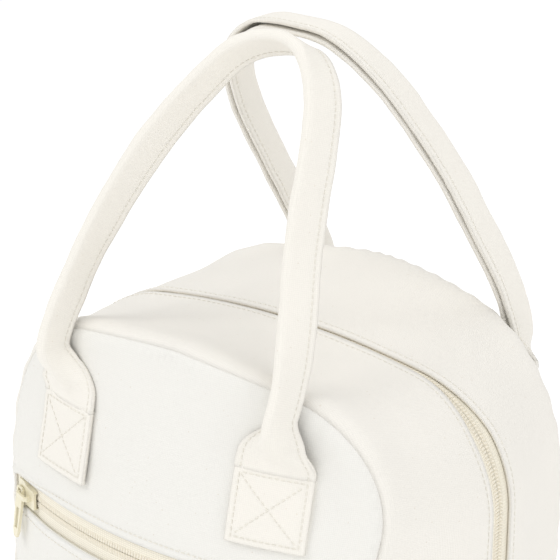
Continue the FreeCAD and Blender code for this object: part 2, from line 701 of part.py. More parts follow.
def build():
    parts = {}
    parts.update(main_zip_parts())
    tapes = [parts["main_tape_front"], parts["main_tape_front_ends"], parts["main_tape_back"]]
    pocket, pocket_block = pocket_parts()
    parts.update(pocket)
    parts.update(front_parts(pocket_block))
    parts.update(back_parts())
    parts.update(strip_parts(tapes))
    parts.update(binding_parts())
    parts["base_board"] = base_board()
    parts.update(main_slider_parts())
    parts.update(pocket_slider_parts())
    parts["front_handle"] = handle_solid(FRONT_LINE, FRONT_ACROSS, -1, 0.0)
    parts["back_handle"] = handle_solid(BACK_LINE, BACK_ACROSS, 1, BACK_HANDLE_SHIFT)
    parts["front_handle_ends"] = handle_ends(-1, 0.0)
    parts["back_handle_ends"] = handle_ends(1, BACK_HANDLE_SHIFT)
    return parts


def tidy(shape):
    """Only the solids, as one shape."""
    solids = shape.Solids
    return solids[0] if len(solids) == 1 else Part.makeCompound(solids)


os.makedirs("parts", exist_ok=True)
for node, shape in build().items():
    solid = tidy(shape)
    solid.exportStep("parts/" + node + ".step")
    print(node, len(solid.Solids), "valid" if solid.isValid() else "INVALID", round(solid.Volume))
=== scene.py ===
from bisect import bisect_right
from math import asin, atan2, copysign, cos, exp, hypot, log1p, pi, radians, sin, sqrt, tanh

import bpy
from bpy.props import FloatProperty, FloatVectorProperty, PointerProperty
from mathutils import Matrix, Vector, noise


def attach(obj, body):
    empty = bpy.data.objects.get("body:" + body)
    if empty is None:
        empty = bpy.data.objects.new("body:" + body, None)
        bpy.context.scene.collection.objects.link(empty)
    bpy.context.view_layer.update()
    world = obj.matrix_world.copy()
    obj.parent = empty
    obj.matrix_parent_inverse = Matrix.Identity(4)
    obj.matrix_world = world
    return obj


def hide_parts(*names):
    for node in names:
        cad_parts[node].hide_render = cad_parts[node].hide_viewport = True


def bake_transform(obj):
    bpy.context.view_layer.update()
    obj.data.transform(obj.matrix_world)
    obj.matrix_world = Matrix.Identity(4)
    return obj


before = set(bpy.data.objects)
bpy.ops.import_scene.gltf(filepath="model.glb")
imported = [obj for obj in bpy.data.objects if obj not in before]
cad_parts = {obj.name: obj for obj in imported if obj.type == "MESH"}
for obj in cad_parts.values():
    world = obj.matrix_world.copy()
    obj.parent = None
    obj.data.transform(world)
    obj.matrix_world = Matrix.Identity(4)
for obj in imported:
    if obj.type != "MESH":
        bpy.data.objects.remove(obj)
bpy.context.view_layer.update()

bl_info = {
    "name": "Canvas lunch bag",
    "version": (1, 0, 0),
    "blender": (4, 5, 0),
    "location": "View3D > Sidebar > Lunch bag",
    "description": "Sews the canvas, zips, handles and lining of a soft lunch bag round its frame",
    "category": "Add Mesh",
}

MM = 0.001

# the bag's form in millimetres: +Z up, the front faces -Y
TOP_LINE = 234.0          # height of the zip over the top
ZIP_HALF = 110.0          # half the width along the zip
SEAM_STEP = 16.0          # the strip narrows by this much each side to the seams
SEAM_LIFT = 6.0           # and rises by this much over the top
SEAM_Y = 63.0
BAND_Y = 16.0             # flat band beside the zip
SPRING = 178.0            # the arched top starts here
SHOULDER_RADIUS = 51.0
CROWN_RADIUS = 401.6
BASE_CORNER = 12.0
FACE_RADIUS = 211.82
FACE_CENTRE = -126.82
LEAN_TOP = 169.0
FOLD = 64.0
ZIP_FOOT = 38.0           # lower ends of the main zip
POCKET_ZIP = 154.0
POCKET_HALF_WIDTH = 90.0
POCKET_WINDOW = 7.5
COIL_HALF = 2.9
TAPE_HALF = 15.0
CHAIN_INSET = 1.5
PATCH_TOP = 206.0
PATCH_HEIGHT = 30.0
STRIP_WIDTH = 33.0
STRAP_END_X = 54.0
HANDLE_TOP = 352.0
BACK_SHIFT = 9.0          # the back handle stands this far to the right
INSIDE = Vector((0, 0, 120))
STRIP_REACH = 57.0        # across the strip from the zip to the seam
BASE_ACROSS = 126.0       # across the base from seam to seam
UPPER_SEAM = 620.0        # lengths of the seams, for their puckers
BACK_SEAM = 700.0
WALL_INSET = 1.3          # lining walls lie this far inside the canvas
FRONT_INSET = 5.6         # and further behind the pocket's cloth bag
UPPER_HEIGHT = 70.0       # cloth above the pocket's opening
LOWER_HEIGHT = 146.0      # and below it
EDGE_STITCH = 3.0         # stitching runs this far from a turned edge
END_STITCH = 2.6          # and this far inside a handle's flat end
ROOT_X = 41.0             # where a strap's depth is taken on the face
FAN_POWER = 1.5           # rows of a face crowd towards its seam
STATIONS = 220            # sections along a strap
CAMERA_LOOK = (-0.590, 0.7272, -0.3509)
CAMERA_PLACE = (0.6452, -0.7990, 0.6349)
CAMERA_ROLL = 0.73        # degrees
CAMERA_LENS = 173.94

# a strap's middle line from left to right, as (x, rise over its flat ends)
FRONT_LINE = [(-59, 24), (-60, 46), (-56.5, 64), (-50, 84), (-41, 104), (-29.5, 122.5), (-14.5, 140),
              (3, 146.3), (19.5, 144), (31.5, 130.5), (37, 112.5), (41, 91.5), (45.5, 73),
              (51.5, 54), (57, 37), (58.5, 22)]
BACK_LINE = [(-51, 26), (-50.5, 50), (-54, 74), (-57.3, 104), (-50.3, 129), (-30.5, 146), (-9, 148.8),
             (10, 146.2), (28, 128), (43, 96), (50, 66), (53.5, 38)]
# which way a strap faces, by share of its length
FRONT_TURN = [(0.0, (0, 1, 0)), (0.12, (0.1, 1, 0)), (0.3, (0.4, 0.8, -0.4)), (0.48, (0, 0.75, -0.65)),
              (0.62, (0.35, 0.9, -0.1)), (0.8, (0.5, 0.85, 0)), (0.92, (0.1, 1, 0)), (1.0, (0, 1, 0))]
BACK_TURN = [(0.0, (0, 1, 0)), (1.0, (0, 1, 0))]
# (rise, how far the strap leans in there)
LEAN_MARKS = [(0, 0.0), (22, 4.0), (48, 8.5), (72, 6.6), (95, 4.4), (118, 1.8), (142, 0.0)]
FRONT_FOLD_UP, BACK_FOLD_UP = 24.0, 17.0   # heights over which the flat strips fold in half


# ---- small maths ----

def clamp(value, low=0.0, high=1.0):
    return max(low, min(high, value))


def ease(t):
    t = clamp(t)
    return t * t * (3 - 2 * t)


def lerp(a, b, t):
    return a + (b - a) * t


def ripple(point, size, seed=0.0):
    """Smooth unevenness of cloth, about -1 to 1, with lumps of the given size in millimetres."""
    return noise.noise(Vector(point) / size + Vector((seed, seed * 0.37, seed * 0.71)))


# ---- the form of the bag ----

def face_depth(x, z):
    """Distance of the front or back face from the middle plane."""
    lean = 15.0 * max(0.0, (z - LEAN_TOP) / 71.0) + 8.0 * clamp((FOLD - z) / FOLD)
    return FACE_CENTRE + sqrt(FACE_RADIUS ** 2 - x * x) - lean


def half_outline():
    """Right half of the outline along the zip from the middle of the top to the middle of the base,
    as (distance, x, z, normal x, normal z)."""
    small_x = ZIP_HALF - SHOULDER_RADIUS
    meet = atan2(SPRING - (TOP_LINE - CROWN_RADIUS), small_x)
    marks = []
    for radius, x, z, low, high in ((CROWN_RADIUS, 0.0, TOP_LINE - CROWN_RADIUS, pi / 2, meet),
                                    (SHOULDER_RADIUS, small_x, SPRING, meet, 0.0)):
        for i in range(40):
            a = lerp(low, high, i / 40)
            nx, nz = cos(a), sin(a)
            marks.append((x + radius * nx, z + radius * nz, nx, nz))
    for i in range(60):
        marks.append((ZIP_HALF, lerp(SPRING, BASE_CORNER, i / 60), 1.0, 0.0))
    for i in range(16):
        a = lerp(0.0, -pi / 2, i / 16)
        nx, nz = cos(a), sin(a)
        marks.append((ZIP_HALF - BASE_CORNER * (1 - nx), BASE_CORNER * (1 + nz), nx, nz))
    for i in range(31):
        marks.append((lerp(ZIP_HALF - BASE_CORNER, 0.0, i / 30), 0.0, 0.0, -1.0))
    out, run = [], 0.0
    for i, (x, z, nx, nz) in enumerate(marks):
        if i:
            run += hypot(x - marks[i - 1][0], z - marks[i - 1][1])
        out.append((run, x, z, nx, nz))
    return out


OUTLINE = half_outline()
RUNS = [mark[0] for mark in OUTLINE]
ROUND = RUNS[-1]


def outline_at(run):
    """(x, z, normal x, normal z) at a distance from the middle of the top."""
    run = clamp(run, 0.0, ROUND)
    high = min(bisect_right(RUNS, run), len(RUNS) - 1)
    a, b = OUTLINE[high - 1], OUTLINE[high]
    t = (run - a[0]) / max(b[0] - a[0], 1e-9)
    return tuple(lerp(a[k], b[k], t) for k in (1, 2, 3, 4))


def run_at_height(z):
    """Distance along the outline where the side comes down to height z."""
    for run, x, height, nx, nz in OUTLINE:
        if height <= z and nx > 0.9:
            return run
    return ROUND


def strip_point(run, y, inset=0.0):
    """A point on the side strip: run is signed, with the right side positive."""
    side = 1.0 if run >= 0 else -1.0
    x, z, nx, nz = outline_at(abs(run))
    x, z = x - inset * nx, z - inset * nz
    away = abs(y) - BAND_Y
    t = clamp(0.5 * (away + hypot(away, 4.0)) / (SEAM_Y - BAND_Y), 0.0, 1.1)
    x -= SEAM_STEP * t * tanh(x / 30.0)
    z += SEAM_LIFT * t * ease((z - 120.0) / 58.0)
    return Vector((side * x, y, z))


def seam_point(run, sign, inset=0.0, face_inset=0.0):
    """Where the strip meets the front (sign -1) or back face."""
    y = SEAM_Y
    for _ in range(12):
        p = strip_point(run, y, inset)
        y = face_depth(p.x, p.z) - face_inset
    return strip_point(run, sign * y, inset)


BASE_RUN = ROUND - (ZIP_HALF - BASE_CORNER)   # where the outline meets the flat of the base
SEAM_MARKS = [seam_point(lerp(BASE_RUN, 150.0, i / 240), -1) for i in range(241)]


def seam_half_at(z):
    """Half the width of a face at a height below the arched top."""
    for a, b in zip(SEAM_MARKS, SEAM_MARKS[1:]):
        if z <= b.z:
            return lerp(a.x, b.x, clamp((z - a.z) / max(b.z - a.z, 1e-9)))
    return SEAM_MARKS[-1].x


# ---- cloth ----

class Cloth:
    """A grid of cloth, laid out by rows and columns, with its yarn directions kept for the weave."""

    def __init__(self, columns, rows, place):
        self.columns, self.rows, self.flipped = columns, rows, False
        self.points, self.yarn = [], []
        for j in range(rows + 1):
            for i in range(columns + 1):
                point, yarn = place(i / columns, j / rows)
                self.points.append(Vector(point))
                self.yarn.append(yarn)
        self.normals = self.find_normals()

    def index(self, i, j):
        return j * (self.columns + 1) + i

    def find_normals(self):
        normals = []
        for j in range(self.rows + 1):
            for i in range(self.columns + 1):
                i0, i1 = max(i - 1, 0), min(i + 1, self.columns)
                j0, j1 = max(j - 1, 0), min(j + 1, self.rows)
                along = self.points[self.index(i1, j)] - self.points[self.index(i0, j)]
                up = self.points[self.index(i, j1)] - self.points[self.index(i, j0)]
                normals.append(along.cross(up).normalized())
        return normals

    def turn_over(self):
        self.normals = [-n for n in self.normals]
        self.flipped = True

    def face_out(self):
        """Turns the normals away from the inside of the bag."""
        middle = self.index(self.columns // 2, self.rows // 2)
        if self.normals[middle].dot(self.points[middle] - INSIDE) < 0:
            self.turn_over()
        return self

    def raise_by(self, height):
        """Moves each point along its normal, but never under the ground.
        height takes column share, row share and point."""
        for k, point in enumerate(self.points):
            j, i = divmod(k, self.columns + 1)
            raised = point + self.normals[k] * height(i / self.columns, j / self.rows, point)
            raised.z = max(raised.z, 0.0)
            self.points[k] = raised

    def at(self, u, v):
        """(point, normal) at shares of the columns and rows."""
        a, b = clamp(u) * self.columns, clamp(v) * self.rows
        i, j = min(int(a), self.columns - 1), min(int(b), self.rows - 1)
        s, t = a - i, b - j
        point, normal = Vector(), Vector()
        corners = ((0, 0, (1 - s) * (1 - t)), (1, 0, s * (1 - t)), (0, 1, (1 - s) * t), (1, 1, s * t))
        for di, dj, weight in corners:
            k = self.index(i + di, j + dj)
            point += self.points[k] * weight
            normal += self.normals[k] * weight
        return point, normal.normalized()

    def row(self, share, count, trim=4):
        """(point, normal) along a row, short of its ends by trim steps."""
        return [self.at(i / count, share) for i in range(trim, count - trim + 1)]

    def faces(self):
        out = []
        for j in range(self.rows):
            for i in range(self.columns):
                a, b = self.index(i, j), self.index(i + 1, j)
                c, d = self.index(i + 1, j + 1), self.index(i, j + 1)
                out.append((a, d, c, b) if self.flipped else (a, b, c, d))
        return out


def make_mesh(name, points, faces, finish, yarn=None):
    """An object from points in millimetres."""
    mesh = bpy.data.meshes.new(name)
    mesh.from_pydata([tuple(Vector(p) * MM) for p in points], [], faces)
    mesh.update()
    if yarn:
        kept = mesh.attributes.new("yarn", "FLOAT_VECTOR", "POINT")
        kept.data.foreach_set("vector", [c for u, v in yarn for c in (u, v, 0.0)])
    mesh.materials.append(finish)
    mesh.polygons.foreach_set("use_smooth", [True] * len(mesh.polygons))
    made = bpy.data.objects.new(name, mesh)
    bpy.context.scene.collection.objects.link(made)
    return made


def sew(name, cloth, finish, thickness, slot, *nodes):
    """A piece of cloth with its thickness laid to the inside of its outer surface.
    It takes a colour slot, which is not used, and stands for the named nodes."""
    made = make_mesh(name, cloth.points, cloth.faces(), finish_for(finish), cloth.yarn)
    solid = made.modifiers.new("Thickness", "SOLIDIFY")
    solid.thickness = thickness * MM
    solid.offset = -1.0
    solid.use_even_offset = False
    if nodes:
        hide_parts(*nodes)
    return made


def cloth_area(cloth):
    """Area in square metres."""
    total = 0.0
    for a, b, c, d in cloth.faces():
        p, q, r, s = (cloth.points[k] for k in (a, b, c, d))
        total += 0.5 * ((q - p).cross(r - p).length + (r - p).cross(s - p).length)
    return total * MM * MM


def declare(cloth, rests_on):
    """Works out how big the flat cut of a sewn piece is, but keeps nothing of it."""
    span = [max(y[k] for y in cloth.yarn) - min(y[k] for y in cloth.yarn) for k in (0, 1)]
    flat = tuple(max(s * MM, 0.011) for s in span)
    area = clamp(cloth_area(cloth), 0.3 * flat[0] * flat[1], flat[0] * flat[1])


def bend_front(made):
    """Bakes the piece's transform into its mesh."""
    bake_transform(made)


def hang(sign, *pieces):
    """Front pieces have their transforms baked, and back pieces stay with the back."""
    for made in pieces:
        if sign < 0:
            bend_front(made)
        else:
            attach(made, "bag_back")


# ---- rows of like small pieces ----

def ring_faces(rings, sides):
    """Faces between rings of points, one after another."""
    faces = []
    for r in range(rings - 1):
        for k in range(sides):
            a, b = r * sides + k, r * sides + (k + 1) % sides
            faces.append((a, b, b + sides, a + sides))
    return faces


def spindle(sides=6):
    """A rounded bar along +X, one long and one in radius, as (points, faces)."""
    points = []
    rings = ((0.0, 0.35), (0.16, 0.92), (0.5, 1.0), (0.84, 0.92), (1.0, 0.35))
    for along, radius in rings:
        for k in range(sides):
            a = 2 * pi * k / sides
            points.append((along, radius * cos(a), radius * sin(a)))
    faces = ring_faces(len(rings), sides)
    faces.append(tuple(reversed(range(sides))))
    faces.append(tuple(range((len(rings) - 1) * sides, len(rings) * sides)))
    return points, faces


def lay_bars(name, bars, finish):
    """One mesh of rounded bars, each given as (start, end, outward, half width, half height)."""
    shape, shape_faces = spindle()
    points, faces = [], []
    for start, end, outward, half_width, half_height in bars:
        along = end - start
        across = outward.cross(along).normalized()
        base = len(points)
        for t, y, z in shape:
            points.append(start + along * t + across * (y * half_width) + outward * (z * half_height))
        faces.extend(tuple(base + k for k in face) for face in shape_faces)
    return make_mesh(name, points, faces, finish_for(finish))


def spaced(path, pitch):
    """Evenly spaced (point, direction, normal) along a list of (point, normal)."""
    out, left = [], 0.5 * pitch
    for (p, n), (q, m) in zip(path, path[1:]):
        step = (q - p).length
        if step < 1e-6:
            continue
        along = (q - p) / step
        while left <= step:
            t = left / step
            out.append((p.lerp(q, t), along, n.lerp(m, t).normalized()))
            left += pitch
        left -= step
    return out


def stitch_bars(path, sizes):
    """Stitches sunk a little into the cloth along a path."""
    pitch, long = sizes.stitch_pitch / MM, sizes.stitch_length / MM
    bars = []
    for point, along, normal in spaced(path, pitch):
        middle = point + normal * 0.12
        half = along * (0.5 * long)
        bars.append((middle - half, middle + half, normal, 0.27, 0.2))
    return bars


def tooth_bars(path, sizes, side):
    """One side's row of coil turns: slanted bars across the chain."""
    pitch = sizes.coil_pitch / MM
    bars = []
    for point, along, normal in spaced(path, pitch):
        across = along.cross(normal).normalized() * side
        start = point + across * 0.12 + normal * 0.15
        end = point + across * COIL_HALF + along * (0.42 * pitch) - normal * 0.1
        bars.append((start, end, normal, 0.42 * pitch, 0.72))
    return bars


def coil_row(name, path, sign, axis, sizes):
    """One row of a zip's coil, on the side of the chain that sign gives."""
    _, along, normal = spaced(path, 1.0)[0]
    side = sign if along.cross(normal)[axis] > 0 else -sign
    coil = lay_bars(name, tooth_bars(path, sizes, side), "Zip coil")
    return coil


# ---- finishes ----

class Number:
    """A socket that carries a number. Python's operators add the Math nodes."""

    def __init__(self, finish, socket):
        self.finish, self.socket = finish, socket

    def math(self, operation, *values):
        node = self.finish.node("ShaderNodeMath", {"operation": operation}, dict(enumerate(values)))
        return Number(self.finish, node.outputs[0])

    def __add__(self, other):
        return self.math("ADD", self, other)

    __radd__ = __add__

    def __sub__(self, other):
        return self.math("SUBTRACT", self, other)

    def __rsub__(self, other):
        return self.math("SUBTRACT", other, self)

    def __mul__(self, other):
        return self.math("MULTIPLY", self, other)

    __rmul__ = __mul__

    def sine(self):
        return self.math("SINE", self)

    def size(self):
        return self.math("ABSOLUTE", self)

    def above(self, level):
        return self.math("GREATER_THAN", self, level)

    def held(self):
        """Kept from 0 to 1."""
        return self.math("MINIMUM", self.math("MAXIMUM", self, 0.0), 1.0)


class Finish:
    """A material and the ways of adding to its nodes."""

    def __init__(self, name):
        self.material = bpy.data.materials.new(name)
        self.material.use_nodes = True
        self.tree = self.material.node_tree
        self.shader = self.tree.nodes["Principled BSDF"]

    def feed(self, socket, value):
        if isinstance(value, Number):
            value = value.socket
        if isinstance(value, bpy.types.NodeSocket):
            self.tree.links.new(value, socket)
        else:
            socket.default_value = value

    def node(self, kind, settings=None, inputs=None):
        made = self.tree.nodes.new(kind)
        for key, value in (settings or {}).items():
            setattr(made, key, value)
        for key, value in (inputs or {}).items():
            self.feed(made.inputs[key], value)
        return made

    def number(self, node, output=0):
        return Number(self, node.outputs[output])

    def mix(self, factor, a, b):
        node = self.node("ShaderNodeMix", {"data_type": "RGBA"}, {0: factor, 6: a, 7: b})
        return node.outputs[2]

    def noise(self, where, scale, detail=3.0, roughness=0.5):
        node = self.node("ShaderNodeTexNoise", None, {
            "Vector": where, "Scale": scale, "Detail": detail, "Roughness": roughness})
        return self.number(node)

    def set(self, **values):
        for key, value in values.items():
            self.feed(self.shader.inputs[key.replace("_", " ")], value)
        return self

    def bump(self, height, distance, strength=1.0):
        node = self.node("ShaderNodeBump", None, {
            "Height": height, "Distance": distance, "Strength": strength})
        self.feed(self.shader.inputs["Normal"], node.outputs[0])
        return self


def shade(colour, factor):
    return (colour[0] * factor, colour[1] * factor, colour[2] * factor, 1.0)


def woven(name, colour, pitch, fleck, depth):
    """Plain-weave cotton: yarns over and under, slubs, seed flecks and a soft unevenness."""
    finish = Finish(name)
    yarn = finish.node("ShaderNodeAttribute", {"attribute_name": "yarn"}).outputs["Vector"]
    parts = finish.node("ShaderNodeSeparateXYZ", None, {0: yarn})
    waviness = finish.noise(yarn, 0.12, 2.0) - 0.5
    warp = ((finish.number(parts, 0) + waviness * 1.6) * (pi / pitch)).sine()
    weft = ((finish.number(parts, 1) + waviness * 1.3) * (pi / pitch)).sine()
    over = (warp * weft * 2.2 + 0.5).held()
    height = warp.size() * over + weft.size() * (1 - over)
    slub = finish.noise(yarn, 0.9, 4.0, 0.65)
    cloudy = finish.noise(yarn, 0.045, 3.0)
    seeds = finish.node("ShaderNodeTexVoronoi", {"feature": "F1"},
                        {"Vector": yarn, "Scale": 0.3, "Randomness": 1.0})
    specks = (1 - finish.number(seeds) * 8.0).held() * finish.noise(yarn, 0.11, 2.0).above(0.54)
    # Darker where the weave is low: partly painted shade in the hollows between the yarns, partly the slubs'
    # uneven tone.
    tone = finish.mix((height * 0.5 + slub * 0.5).held(), shade(colour, 0.86), shade(colour, 1.0))
    tone = finish.mix((cloudy * 0.35).held(), tone, shade(colour, 0.93))
    tone = finish.mix((specks * fleck).held(), tone, shade((0.52, 0.40, 0.24), 1.0))
    finish.set(Base_Color=tone, Roughness=(0.98 - height * 0.12), Sheen_Weight=0.12, Sheen_Roughness=0.5,
               Specular_IOR_Level=0.2)
    finish.bump(height * 0.55 + slub * 0.45, depth * MM, 0.7)
    return finish.material


def ribbed(name, colour, pitch, depth):
    """Zip tape: close ribs along its length."""
    finish = Finish(name)
    yarn = finish.node("ShaderNodeAttribute", {"attribute_name": "yarn"}).outputs["Vector"]
    parts = finish.node("ShaderNodeSeparateXYZ", None, {0: yarn})
    rib = (finish.number(parts, 1) * (pi / pitch)).sine().size()
    pick = (finish.number(parts, 0) * (pi / (pitch * 1.4))).sine().size()
    height = rib * 0.7 + pick * 0.3
    # Darker in the grooves between the ribs: painted shade.
    tone = finish.mix(height.held(), shade(colour, 0.78), shade(colour, 1.0))
    finish.set(Base_Color=tone, Roughness=0.9 - height * 0.1, Sheen_Weight=0.1)
    finish.bump(height, depth * MM, 0.8)
    return finish.material


def plain(name, colour, roughness, wear, grain, coat=0.0):
    """Enamel, nylon, film, thread or board: a colour with fine grain and a little wear."""
    finish = Finish(name)
    where = finish.node("ShaderNodeTexCoord").outputs["Object"]
    fine = finish.noise(where, grain, 4.0, 0.6)
    tone = finish.mix((fine * wear).held(), shade(colour, 1.0), shade(colour, 0.72))
    finish.set(Base_Color=tone, Roughness=roughness + (fine - 0.5) * 0.12,
               Coat_Weight=coat, Coat_Roughness=0.2)
    finish.bump(fine, 0.00008, 0.5)
    return finish.material


def finish_for(name):
    """The named finish, made the first time it is asked for."""
    known = bpy.data.materials.get(name)
    if known:
        return known
    colours, pitch = bpy.context.scene.lunch_bag_colours, sizes_now().yarn_pitch / MM
    recipes = {
        "Cotton canvas": (woven, colours.canvas, pitch, 0.4, 0.16),
        # a warmer copy of the canvas colour: painted warm shade on the side strip and base
        "Side canvas": (woven, colours.side_canvas, pitch, 0.4, 0.16),
        # a lighter copy of the canvas colour: painted light on the straps
        "Strap canvas": (woven, colours.strap, pitch, 0.35, 0.18),
        # the pocket cloth takes the same painted warm shade colour
        "Pocket cloth": (woven, colours.side_canvas, 0.45, 0.1, 0.06),
        "Zip tape": (ribbed, colours.zip_tape, 0.9, 0.16),
        "Zip coil": (plain, colours.zip_coil, 0.42, 0.3, 700.0),
        "Slider enamel": (plain, colours.enamel, 0.34, 0.5, 160.0, 0.4),
        "Lining film": (plain, colours.lining, 0.4, 0.35, 130.0),
        "Seam binding": (plain, colours.zip_tape, 0.85, 0.4, 900.0),
        "Sewing thread": (plain, colours.thread, 0.8, 0.35, 900.0),
        "Base board": (plain, (0.42, 0.36, 0.28), 0.85, 0.5, 300.0),
    }
    if name not in recipes:
        raise ValueError(f"There is no finish called {name}.")
    maker, *values = recipes[name]
    return maker(name, *values)


# ---- surface relief ----

def roll(distance, width, height):
    """The soft roll that wadding makes beside a seam: nothing at the seam, full at its width."""
    t = distance / width
    return height * t * exp(1 - t) if t < 8 else 0.0


def wall_relief(point, to_seam, run, puff, seed):
    """Wadding under canvas: a broad unevenness, and small puckers that fade from the seam."""
    settled = 1 - exp(-to_seam / 7.0)
    broad = 1.25 * ripple(point, 52.0, seed) + 0.5 * ripple(point, 17.0, seed + 3)
    wave = sin(run * 2 * pi / 12.5 + 3.0 * ripple(point, 40.0, seed + 7))
    pucker = 0.42 * wave * exp(-to_seam / 8.0)
    rolls = settled * broad + roll(to_seam, 5.0, 1.5) + roll(to_seam, 3.0, 1.0) * pucker
    return puff / (1.2 * MM) * rolls


def turned_edge(distance):
    """A folded-under edge is thicker up to its stitching, which pulls it down."""
    return 0.5 * (1 - ease((distance - 2.2) / 1.2)) - 0.25 * exp(-((distance - EDGE_STITCH) / 0.7) ** 2)


# ---- panels ----

def face_yarn(x, z):
    return (FACE_RADIUS * asin(x / FACE_RADIUS), z)


def face_fan(columns, rows, inner, outer, sign, inset=0.0):
    """Cloth on a face between an inner line and the seam, both given as (x, z) by share."""
    def place(u, v):
        (x0, z0), (x1, z1) = inner(u), outer(u)
        t = 1 - (1 - v) ** FAN_POWER
        x, z = lerp(x0, x1, t), lerp(z0, z1, t)
        return (x, sign * (face_depth(x, z) - inset), z), face_yarn(x, z)
    return Cloth(columns, rows, place).face_out()


def seam_between(low, sign, inset=0.0):
    """The seam from height low on the left, over the top, to the same height on the right."""
    reach = BASE_RUN if low <= 0 else run_at_height(low)
    while low > 0 and seam_point(reach, sign, inset).z > low + 0.4 and reach < ROUND:
        reach += 0.5

    def at(u):
        p = seam_point(lerp(-reach, reach, u), sign, inset)
        return p.x, p.z
    return at


def window_half(x):
    """Half the height of the pocket's opening, less at its ends."""
    return lerp(6.0, POCKET_WINDOW, ease((POCKET_HALF_WIDTH - abs(x)) / 28.0))


def upper_edge(u):
    """The upper edge of the pocket's opening, as (x, z) by share."""
    x = lerp(-POCKET_HALF_WIDTH, POCKET_HALF_WIDTH, u)
    return x, POCKET_ZIP + window_half(x)


def seam_distance(cloth):
    """Distance from each point's column end to the point, in millimetres."""
    def find(u, v, point):
        edge, _ = cloth.at(u, 1.0)
        return (edge - point).length
    return find


def length(name, description, default, low, high):
    return FloatProperty(name=name, description=description, default=default, min=low, max=high,
                         subtype="DISTANCE", unit="LENGTH")


def colour_property(name, description, default):
    return FloatVectorProperty(name=name, description=description, default=default, size=3,
                               min=0.0, max=1.0, subtype="COLOR")


class Sizes(bpy.types.PropertyGroup):
    canvas_thickness: length("Canvas thickness", "Thickness of the outer canvas", 0.0012, 0.0004, 0.003)
    wall_thickness: length("Wadding", "Thickness of the wadding with its lining", 0.0053, 0.001, 0.012)
    puff: length("Puff", "How far the wadding lifts the canvas between its seams", 0.0012, 0.0, 0.004)
    yarn_pitch: length("Yarn pitch", "Distance between the yarns of the canvas", 0.00075, 0.0002, 0.003)
    stitch_pitch: length("Stitch pitch", "Distance from stitch to stitch", 0.0027, 0.001, 0.01)
    stitch_length: length("Stitch length", "Length of one stitch", 0.0019, 0.0005, 0.009)
    coil_pitch: length("Coil pitch", "Distance between two turns of a zip's coil", 0.0015, 0.0008, 0.004)
    strap_layer: length("Strap thickness", "Thickness of a strap's doubled canvas", 0.0017, 0.0005, 0.004)
    patch_thickness: length("Patch thickness", "Thickness of a handle's sewn-on end", 0.0017, 0.0005, 0.004)


class Colours(bpy.types.PropertyGroup):
    canvas: colour_property("Canvas", "Colour of the front and back canvas", (0.868, 0.855, 0.812))
    # The side strip is the same cloth as the front and back; its warmer colour is painted warm shade,
    # standing in for bounce light on the sides and top.
    side_canvas: colour_property("Side canvas", "Colour of the strip round the sides and top",
                                 (0.888, 0.86, 0.803))
    # The straps are the same cloth as the bag; their lighter, warmer colour is painted light on the straps'
    # faces.
    strap: colour_property("Straps", "Colour of the handles", (0.91, 0.878, 0.812))
    zip_tape: colour_property("Zip tape", "Colour of the zip tapes and the binding", (0.92, 0.868, 0.735))
    zip_coil: colour_property("Zip coil", "Colour of the zip coils", (0.88, 0.82, 0.69))
    enamel: colour_property("Sliders", "Colour of the zip sliders and pullers", (0.84, 0.78, 0.58))
    lining: colour_property("Lining", "Colour of the wipe-clean lining", (0.82, 0.82, 0.80))
    thread: colour_property("Thread", "Colour of the stitching", (0.83, 0.80, 0.72))


def sizes_now():
    return bpy.context.scene.lunch_bag_sizes


# ---- operators, one for each piece or group of like pieces ----

class SewFront(bpy.types.Operator):
    """Sew the front canvas above and below the pocket's opening"""
    bl_idname = "lunch_bag.front"
    bl_label = "Front canvas"

    def execute(self, context):
        sizes = sizes_now()
        thick = sizes.canvas_thickness / MM
        upper = face_fan(150, 56, upper_edge, seam_between(POCKET_ZIP + 6.0, -1), -1)
        to_seam = seam_distance(upper)

        def upper_relief(u, v, p):
            rise = wall_relief(p, to_seam(u, v, p), UPPER_SEAM * u, sizes.puff, 1.0)
            return rise * ease(v * 7) + turned_edge(p.z - upper_edge(u)[1])

        upper.raise_by(upper_relief)
        made = sew("front_canvas_upper", upper, "Cotton canvas", thick, "canvas", "front_panel_upper")
        declare(upper, ["lining_front_wall"])
        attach(made, "front_flap")

        def place(u, v):
            z = lerp(0.0, POCKET_ZIP - POCKET_WINDOW, v ** 1.25)
            half = seam_half_at(z)
            x = lerp(-half, half, 0.5 - 0.5 * cos(pi * u))
            z += (POCKET_WINDOW - window_half(x)) * ease((v - 0.9) / 0.1)
            return (x, -face_depth(x, z), z), face_yarn(x, z)

        lower = Cloth(130, 76, place).face_out()

        def lower_relief(u, v, p):
            away = min(seam_half_at(p.z) - abs(p.x), p.z)
            rise = wall_relief(p, max(away, 0.0), p.z, sizes.puff, 5.0)
            return rise * ease((1 - v) * 12) + turned_edge(POCKET_ZIP - window_half(p.x) - p.z)

        lower.raise_by(lower_relief)
        made = sew("front_canvas_pocket", lower, "Cotton canvas", thick, "canvas",
                   "front_panel_pocket", "front_panel_foot")
        declare(lower, ["pocket_cloth_bag"])
        bend_front(made)

        bars = []
        over = 1 - (1 - EDGE_STITCH / UPPER_HEIGHT) ** (1 / FAN_POWER)
        for cloth, share in ((upper, over), (lower, 1 - 3.2 / LOWER_HEIGHT)):
            bars += stitch_bars(cloth.row(share, 300), sizes)
        made = lay_bars("pocket_edge_stitches", bars, "Sewing thread")
        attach(made, "front_flap")
        return {"FINISHED"}


